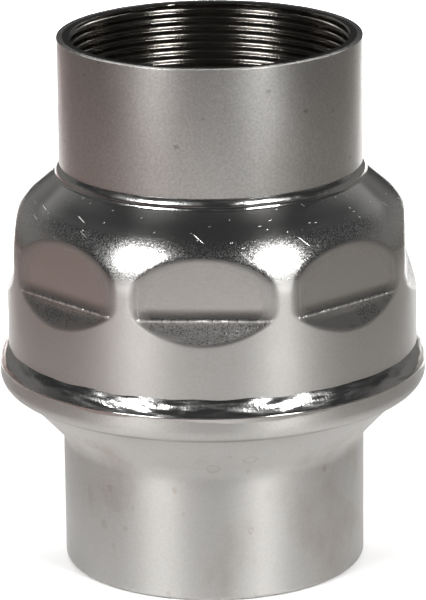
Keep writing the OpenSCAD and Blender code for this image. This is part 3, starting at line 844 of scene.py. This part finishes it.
# Narrow weld under the socket: a bright bead, and a soft roll under it that runs out on the shell
outletWeld = {
    "wallRadius": 40.85 * mm,
    "roll": 1.5 * mm,
    "bead": 0.05 * mm,
    "beadCurve": 1.4,
    "socketGap": 0.25 * mm,
    "buried": 1.2 * mm,       # its foot lies this far under the shell's edge
    "wave": 0.035 * mm,
    "waves": [(24, 0.6, 1.0), (120, 0.4, 0.35)],
    "rows": 16,
    "columns": 540,
}


def makeOutletWeld():
    part = outletWeld
    angles = evenAngles(part["columns"])
    slope = radians(upperShell["slope"])
    wall = part["wallRadius"]
    middle = wall + part["roll"]
    middleHeight = weldFoot - (middle - weldRadius) * tan(slope) + part["roll"] / cos(slope)
    turns = np.linspace(pi / 2 - slope, 0, part["rows"])
    share = np.linspace(0, 1, part["rows"])[1:]
    widens = (socketRadius - part["socketGap"] - wall) * share ** part["beadCurve"]
    beadRadius = wall + widens + part["bead"] * np.sin(share * pi)
    radius = np.concatenate([middle - part["roll"] * np.cos(turns), beadRadius])
    height = np.concatenate([
        middleHeight - part["roll"] * np.sin(turns), middleHeight + (weldTop - middleHeight) * share,
    ])
    across = np.linspace(0, 1, len(radius))
    wave = lumps(angles, across, part["waves"], seed=8) * part["wave"]
    radius = radius[:, None] + wave * np.sin(across * pi)[:, None]
    inner = outletSocket["spigot"]
    rows = [(radius, height[:, None]), (inner, weldTop), (inner, weldFoot - part["buried"])]
    sheet = polarSheet(angles, *rows, closeRows=True)
    buildPiece("outlet_weld", "bead", weldSteel, [sheet], sharp=50)


makeOutletWeld()
print("outlet weld laid")

# Weld round the waist: one wide bead, drawn out in streaks along itself
waistWeld = {
    "rows": 40,
    "columns": 1080,
    "crown": 0.32 * mm,
    "streak": 0.05 * mm,
    "streakWaves": [(14, 1.2, 1.0), (48, 2.4, 1.0), (90, 0.8, 0.35)],
    "ripple": 0.012 * mm,
    "rippleWaves": [(420, 3.0, 1.0)],
    "edgeWander": 0.16 * mm,  # of the top edge
    "wanderWaves": [(26, 0, 1.0)],
    "sink": 0.12 * mm,        # the bead's edges end this far under the sheets
}


def makeWaistWeld():
    part = waistWeld
    angles = evenAngles(part["columns"])
    share = np.linspace(0, 1, part["rows"])
    streaks = lumps(angles, share, part["streakWaves"], seed=3) * part["streak"]
    ripples = lumps(angles, share, part["rippleWaves"], seed=4) * part["ripple"]
    wander = lumps(angles, share[:1], part["wanderWaves"], seed=6) * part["edgeWander"]
    share = share[:, None]
    radius = waistRadius + (skirtRadius - part["sink"] - waistRadius) * share
    radius = radius + np.sin(share * pi) * (part["crown"] + streaks + ripples)
    height = waistFoot + (waistTop - waistFoot - part["edgeWander"]) * share + share ** 3 * wander
    bead = np.minimum(radius, waistRadius), np.clip(height, waistFoot, waistTop)
    sheet = polarSheet(angles, bead, (skirtRadius - part["sink"] * 2, waistFoot), closeRows=True)
    buildPiece("waist_weld", "bead", weldSteel, [sheet], sharp=50)


makeWaistWeld()
print("waist weld laid")

# Lower shell: threaded neck, cone, rounded lip and the cup that holds the upper shell
lowerShell = {
    "neck": 40.15 * mm,
    "endRound": 1.2 * mm,
    "stop": 26.972 * mm,
    "stopBore": 34.013 * mm,
    "stopEdge": 0.2 * mm,
    "seatBore": 37.002 * mm,
    "seatEdge": 0.4 * mm,
    "neckTop": 35.392 * mm,
    "fillet": 7 * mm,
    "coneSlope": 47,
    "coneEdge": 0.15 * mm,
    "coneWall": 2.6 * mm,
    "lipRound": 4.3 * mm,
    "lipCorner": 4.171 * mm,
    "rimEdge": 0.35 * mm,
    "cup": 48.451 * mm,
    "cupEdge": 0.3 * mm,
    "cupMouth": 0.6 * mm,
    "wall": 2.35 * mm,
    "play": 0.03 * mm,
    "arcSteps": 8,
}


def makeLowerShell():
    part = lowerShell
    angles = evenAngles(pipeThread["columns"])
    skirt = skirtRadius + part["play"]
    turn = lipRadius - part["lipRound"]
    slope = radians(part["coneSlope"])
    floor = part["cup"] + part["wall"]
    seat = part["seatBore"]
    edge = part["stopEdge"]
    thread, threadTop = threadSheet(0, 1)

    def coneInside(radius):
        return part["cup"] + (radius - turn) * tan(slope) + part["coneWall"] / cos(slope)

    innerEdge = turn + (floor - coneInside(turn)) / tan(slope)
    corners = [
        (pipeThread["crest"] + pipeThread["entry"], 0, 0), (part["neck"], 0, part["endRound"]),
        (part["neck"], part["neckTop"], part["fillet"]), (turn, part["cup"], part["coneEdge"]),
        (lipRadius, part["cup"], part["lipCorner"]), (lipRadius, rimTop, part["rimEdge"]), (skirt, rimTop, 0),
        (skirt, floor, part["cupEdge"]), (innerEdge, floor, part["cupMouth"]),
        (seat, coneInside(seat), part["seatEdge"]), (seat, part["stop"], 0),
        (part["stopBore"], part["stop"], edge), (part["stopBore"], threadLength, edge),
        (threadRoot, threadLength, edge), (threadRoot, threadTop, 0),
    ]
    body = polarSheet(angles, roundedOutline(corners, part["arcSteps"]))
    buildPiece("lower_shell", "pressed", shellSteel, [thread, body], sharp=40)


makeLowerShell()
print("lower shell pressed")

# What the inner pieces share
shared = {
    "edge": 0.25 * mm,
    "fit": 0.03 * mm,         # play of a fixed fit
    "free": 0.3 * mm,         # play of what turns or passes freely
    "stem": 5 * mm,
    "cageSheet": 2 * mm,
}
stemHole = shared["stem"] + shared["fit"]

bush = {
    "bore": 5.05 * mm,
    "outside": 6.5 * mm,
    "flange": 1.2 * mm,
}


def makeBush(node):
    edge = shared["edge"]
    foot, top, outer = reach(node)
    seat = top - bush["flange"]
    spunPiece(node, "moulded", bushPlastic, [
        (bush["bore"], foot, edge), (bush["outside"], foot, edge), (bush["outside"], seat, 0),
        (outer, seat, edge), (outer, top, edge), (bush["bore"], top, edge),
    ])


makeBush("lower_bush")
makeBush("upper_bush")

# Seat ring, with its lip and the groove for the O-ring
seatRing = {
    "bore": 31.5 * mm,
    "fit": 36.972 * mm,
    "flange": 2.7 * mm,
    "grooveBottom": 35.042 * mm,
    "lip": 2.5 * mm,
    "lipLand": 1.2 * mm,
    "lipFoot": 0.3 * mm,
    "edge": 0.2 * mm,
    "columns": 256,
    "cordSides": 24,
    "cordColumns": 192,
}


def makeSeatRing():
    part = seatRing
    edge = part["edge"]
    foot, top, outer = reach("seat_ring")
    flangeTop = footOf("guide_cage")
    flangeFoot = flangeTop - part["flange"]
    lip = part["bore"] + part["lip"]
    side = (part["lip"] - part["lipLand"]) / 2
    low = footOf("seat_o_ring") - shared["free"]
    high = topOf("seat_o_ring") + shared["free"]
    spunPiece("seat_ring", "turned", machinedSteel, [
        (part["bore"], foot, edge * 2), (part["fit"], foot, edge * 2),
        (part["fit"], low, edge), (part["grooveBottom"], low, edge),
        (part["grooveBottom"], high, edge), (part["fit"], high, edge),
        (part["fit"], flangeFoot, 0), (outer, flangeFoot, edge), (outer, flangeTop, edge),
        (lip, flangeTop, part["lipFoot"]), (lip, top - side, edge), (lip - side, top, edge),
        (part["bore"] + side, top, edge), (part["bore"], top - side, edge),
    ], part["columns"])


def makeSeatORing():
    foot, top, outer = reach("seat_o_ring")
    half = (top - foot) / 2
    turns = evenAngles(seatRing["cordSides"])
    section = [(outer - half + half * cos(turn), foot + half + half * sin(turn), 0) for turn in turns]
    spunPiece("seat_o_ring", "moulded", sealRubber, section, seatRing["cordColumns"], sharp=60)


makeSeatRing()
makeSeatORing()
print("seat ring turned, with its O-ring")

# Pressed star plate and pressed cage: their sheared and bent edges are rounded off
pressed = {
    "edge": 0.3 * mm,
    "steps": 3,
    "flatWithin": 1,          # degrees
    "sharpFrom": 40,
}


def makePressed(node):
    part = pressed
    mesh = frame["nodes"][node].data.copy()
    mesh.name = node + "_pressed"
    mesh.materials.clear()
    work = merged(mesh)
    flatWithin = radians(part["flatWithin"])
    bmesh.ops.dissolve_limit(work, angle_limit=flatWithin, verts=work.verts, edges=work.edges)
    for side in (*work.edges, *work.faces):
        side.smooth = True
    bends = [edge for edge in work.edges if edge.calc_face_angle(0) > radians(part["sharpFrom"])]
    bmesh.ops.bevel(
        work, geom=bends, offset=part["edge"], offset_type="OFFSET", segments=part["steps"],
        profile=0.5, affect="EDGES", clamp_overlap=True,
    )
    placePiece(node, mesh, work, sheetSteel, part["sharpFrom"])


makePressed("lower_guide")
makePressed("guide_cage")
print("guide plate and cage pressed")

# Cage screws: round heads with hexagon sockets
cageScrews = {
    "count": 4,
    "ring": 41 * mm,
    "shank": 1.5 * mm,
    "head": 2.5 * mm,
    "headTall": 1.6 * mm,
    "headEdge": 0.4 * mm,
    "headFootEdge": 0.1 * mm,
    "key": 2 * mm,            # across the socket's flats
    "keyDeep": 0.8 * mm,
    "keyPoint": 0.3 * mm,
    "columns": 48,
}


def hexRadius(angles, across):
    off = angles % (pi / 3) - pi / 6
    return across / 2 / np.cos(off)[None, :]


def makeCageScrews():
    part = cageScrews
    angles = evenAngles(part["columns"])
    foot, top, _ = reach("cage_screws")
    headFoot = top - part["headTall"]
    floor = top - part["keyDeep"]
    outline = roundedOutline([
        (0, foot, 0), (part["shank"], foot, shared["edge"]), (part["shank"], headFoot, 0),
        (part["head"], headFoot, part["headFootEdge"]), (part["head"], top, part["headEdge"]),
    ])
    socket = hexRadius(angles, part["key"])
    points, quads = polarSheet(angles, outline, (socket, top), (socket, floor), (0, floor - part["keyPoint"]))
    turns = evenAngles(part["count"])
    spots = [np.array([cos(turn), sin(turn), 0]) * part["ring"] for turn in turns]
    sheets = [(points + spot, quads) for spot in spots]
    buildPiece("cage_screws", "turned", machinedSteel, sheets, sharp=30)


makeCageScrews()

# Guide tube, hung under the cage's top, with its nut
guideTube = {
    "outside": 8.53 * mm,
    "flange": 2.5 * mm,
    "stemHole": 5.6 * mm,
    "bushHole": 6.53 * mm,
    "step": 3.5 * mm,
    "thread": 1 * mm,         # pitch of the fine threads on tube and stem
    "threadDepth": 0.35 * mm,
    "threadRows": 10,         # in each pitch
    "threadShort": 0.6 * mm,  # the thread ends this far under the top
}


def threadRows(radius, low, high, angles):
    # fine outside thread between two heights, which runs out at both ends
    pitch = guideTube["thread"]
    levels = np.linspace(low, high, ceil((high - low) / pitch * guideTube["threadRows"]) + 1)[:, None]
    groove = 0.5 - 0.5 * np.cos(fullTurn * (levels / pitch - angles[None, :] / fullTurn))
    groove = groove * ramp(np.minimum(levels - low, high - levels), 0, pitch)
    return radius - guideTube["threadDepth"] * groove, levels


def makeGuideTube():
    part = guideTube
    angles = evenAngles(turnedColumns)
    foot, top, wide = reach("guide_tube")
    edge = shared["edge"]
    outside = part["outside"]
    flangeTop = topOf("guide_cage") - shared["cageSheet"]
    flangeFoot = flangeTop - part["flange"]
    step = foot + part["step"]
    lower = roundedOutline([
        (part["stemHole"], step, 0), (part["stemHole"], foot, edge), (outside, foot, edge * 2),
        (outside, flangeFoot, edge), (wide, flangeFoot, edge), (wide, flangeTop, edge),
        (outside, flangeTop, 0),
    ])
    upper = roundedOutline([
        (outside, top, edge), (part["bushHole"], top, edge), (part["bushHole"], step, 0),
    ])
    thread = threadRows(outside, flangeTop, top - part["threadShort"], angles)
    sheet = polarSheet(angles, lower, thread, [side[1:] for side in upper], closeRows=True)
    buildPiece("guide_tube", "turned", machinedSteel, [sheet])


makeGuideTube()

nuts = {
    "washerFace": 0.95,       # share of the width across the flats
    "chamfer": 30,
    "rows": 9,
    "columns": 144,
    "boreEdge": 0.6 * mm,
}


def makeNut(node, bore):
    part = nuts
    angles = evenAngles(part["columns"])
    foot, top, corner = reach(node)
    across = corner * sqrt(3)
    face = across / 2 * part["washerFace"]
    slope = tan(radians(part["chamfer"]))
    near = np.linspace(0, (corner - face) * slope, part["rows"])
    levels = np.concatenate([foot + near, top - near[::-1]])[:, None]
    cone = face + np.minimum(levels - foot, top - levels) / slope
    outer = np.minimum(hexRadius(angles, across), cone), levels
    edge = part["boreEdge"]
    bored = [(bore + edge, top), (bore, top - edge), (bore, foot + edge), (bore + edge, foot)]
    sheet = polarSheet(angles, outer, *bored, closeRows=True)
    buildPiece(node, "chamfered", machinedSteel, [sheet], sharp=25)


makeNut("tube_nut", guideTube["outside"] + shared["fit"])
makeNut("stem_nut", stemHole)
print("guide tube, screws and nuts turned")

# Return spring: one closed coil at each end, ground flat, and six that work; the cup carries it
returnSpring = {
    "wire": 1.5 * mm,
    "deadCoils": 1,
    "liveCoils": 6,
    "deadPitch": 1.53 * mm,
    "ground": 0.8,            # coils that are ground flat at each end
    "groundDeep": 0.5,        # share of the wire that is ground away at the tip
    "cupGap": 0.3 * mm,
    "stepsPerCoil": 96,
    "sides": 16,
    "travel": 15 * mm,
}

springCup = {
    "hole": 10.3 * mm,
    "sheet": 1.2 * mm,
    "outerRound": 1 * mm,
    "innerRound": 0.3 * mm,
}


def makeReturnSpring():
    part = returnSpring
    foot, top, _ = reach("return_spring")
    wire = part["wire"]
    half = wire / 2
    middle = radiusOf("spring_cup") - springCup["sheet"] - part["cupGap"] - half
    long = top - foot
    turns = 2 * part["deadCoils"] + part["liveCoils"]
    livePitch = (long - wire - 2 * part["deadCoils"] * part["deadPitch"]) / part["liveCoils"]
    turn = np.linspace(0, turns, turns * part["stepsPerCoil"] + 1)
    dead = np.minimum(turn, part["deadCoils"]) + np.clip(turn - turns + part["deadCoils"], 0, None)
    live = np.clip(turn - part["deadCoils"], 0, part["liveCoils"])
    level = foot + half + part["deadPitch"] * dead + livePitch * live
    tips = ramp(turn, turns - part["ground"], turns) - 1 + ramp(turn, 0, part["ground"])
    level = level + part["groundDeep"] * wire * tips
    ends = np.ones(len(turn) + 2)
    ends[0] = 0
    ends[-1] = 0
    turn = np.concatenate([turn[:1], turn, turn[-1:]])
    level = np.concatenate([level[:1], level, level[-1:]])
    sides = evenAngles(part["sides"])[:, None]
    radius = middle + half * np.cos(sides) * ends
    height = np.clip(level + half * np.sin(sides) * ends, foot, top)
    sheet = polarSheet(turn * fullTurn, (radius, height), closeRound=False, closeRows=True)
    piece = buildPiece("return_spring", "coiled", springSteel, [sheet], sharp=50)
    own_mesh(piece)


def makeSpringCup():
    part = springCup
    edge = shared["edge"]
    foot, top, outer = reach("spring_cup")
    floor = foot + part["sheet"]
    inner = outer - part["sheet"]
    spunPiece("spring_cup", "drawn", sheetSteel, [
        (part["hole"], foot, edge), (outer, foot, part["outerRound"]), (outer, top, edge),
        (inner, top, edge), (inner, floor, part["innerRound"]), (part["hole"], floor, edge),
    ])


makeReturnSpring()
makeSpringCup()
print("spring coiled")

# Stem with its collar, fine thread, clip groove and clip
stemSizes = {
    "collar": 9 * mm,
    "collarFoot": 42.216 * mm,
    "chamfer": 1 * mm,
    "threadOver": 1.6 * mm,   # thread left above the nut
    "groove": 0.8 * mm,
    "grooveEdge": 0.1 * mm,
    "clip": 3.2 * mm,
    "clipRounds": 0.25,       # radians over which the clip's ends round off
    "clipThick": 3,           # how much sooner they reach their full thickness
}


def makeStem():
    part = stemSizes
    angles = evenAngles(turnedColumns)
    foot, top, _ = reach("stem")
    edge = shared["edge"]
    wide = shared["stem"]
    retainer = footOf("seal_retainer")
    lower = roundedOutline([
        (0, foot, 0), (wide - part["chamfer"], foot, 0), (wide, foot + part["chamfer"], edge),
        (wide, part["collarFoot"], edge), (part["collar"], part["collarFoot"], edge),
        (part["collar"], retainer, edge), (wide, retainer, 0),
    ])
    deep = wide - part["groove"]
    low = footOf("stem_clip") - shared["fit"]
    high = topOf("stem_clip") + shared["fit"]
    upper = roundedOutline([
        (wide, low, 0), (deep, low, part["grooveEdge"]), (deep, high, part["grooveEdge"]), (wide, high, 0),
        (wide, top - part["chamfer"], edge), (wide - part["chamfer"], top, 0), (0, top, 0),
    ])
    thread = threadRows(wide, footOf("stem_washer"), topOf("stem_nut") + part["threadOver"], angles)
    buildPiece("stem", "turned", machinedSteel, [polarSheet(angles, lower, thread, upper)])


def makeStemClip():
    part = stemSizes
    foot, top, _ = reach("stem_clip")
    inner = shared["stem"] - part["groove"] + shared["fit"]
    outer = inner + part["clip"]
    edge = shared["edge"]
    corners = [(inner, foot, edge), (outer, foot, edge), (outer, top, edge), (inner, top, edge)]
    radii, levels = roundedOutline(corners)
    middle = (inner + outer) / 2
    level = (foot + top) / 2
    gap = asin(inner / 2 / middle)
    angles = np.linspace(gap, fullTurn - gap, turnedColumns + 1)
    ends = ramp(np.minimum(angles - gap, fullTurn - gap - angles), 0, part["clipRounds"])
    swell = np.sqrt(1 - (1 - ends) ** 2)
    radius = middle + (radii - middle) * swell
    height = level + (levels - level) * np.minimum(swell * part["clipThick"], 1)
    sheet = polarSheet(angles, (radius, height), closeRound=False, closeRows=True)
    buildPiece("stem_clip", "open", springSteel, [sheet], sharp=45)


makeStem()
makeStemClip()

# Disc: plate, retainer, seal and washer, which the nut holds on the stem
discPlate = {
    "boss": 11.97 * mm,
    "edge": 0.5 * mm,
    "dish": 0.5 * mm,         # turned recess in the plate's top
    "dishEdge": 0.2 * mm,
    "rim": 3 * mm,
    "washerGap": 1 * mm,
}
discColumns = 192

# node: bore, edge, finish
flatPlates = {
    "seal_retainer": (stemHole, 0.5 * mm, machinedSteel),
    "disc_seal": (12 * mm, 0.35 * mm, sealRubber),
    "stem_washer": (stemHole, 0.2 * mm, machinedSteel),
}


def makeDiscPlate():
    part = discPlate
    foot, top, outer = reach("disc_plate")
    low = top - part["dish"]
    under = topOf("disc_seal")
    rim = outer - part["rim"]
    washer = radiusOf("stem_washer") + part["washerGap"]
    edge = part["dishEdge"]
    spunPiece("disc_plate", "turned", machinedSteel, [
        (stemHole, foot, 0), (part["boss"], foot, shared["edge"]), (part["boss"], under, 0),
        (outer, under, shared["edge"]), (outer, top, part["edge"]), (rim, top, edge),
        (rim - part["dish"], low, edge), (washer + part["dish"], low, edge), (washer, top, edge),
        (stemHole, top, 0),
    ], discColumns)


makeDiscPlate()
for node, (bore, edge, material) in flatPlates.items():
    foot, top, outer = reach(node)
    section = [(bore, foot, edge), (outer, foot, edge), (outer, top, edge), (bore, top, edge)]
    spunPiece(node, "flat", material, section, discColumns)
print("disc put together")
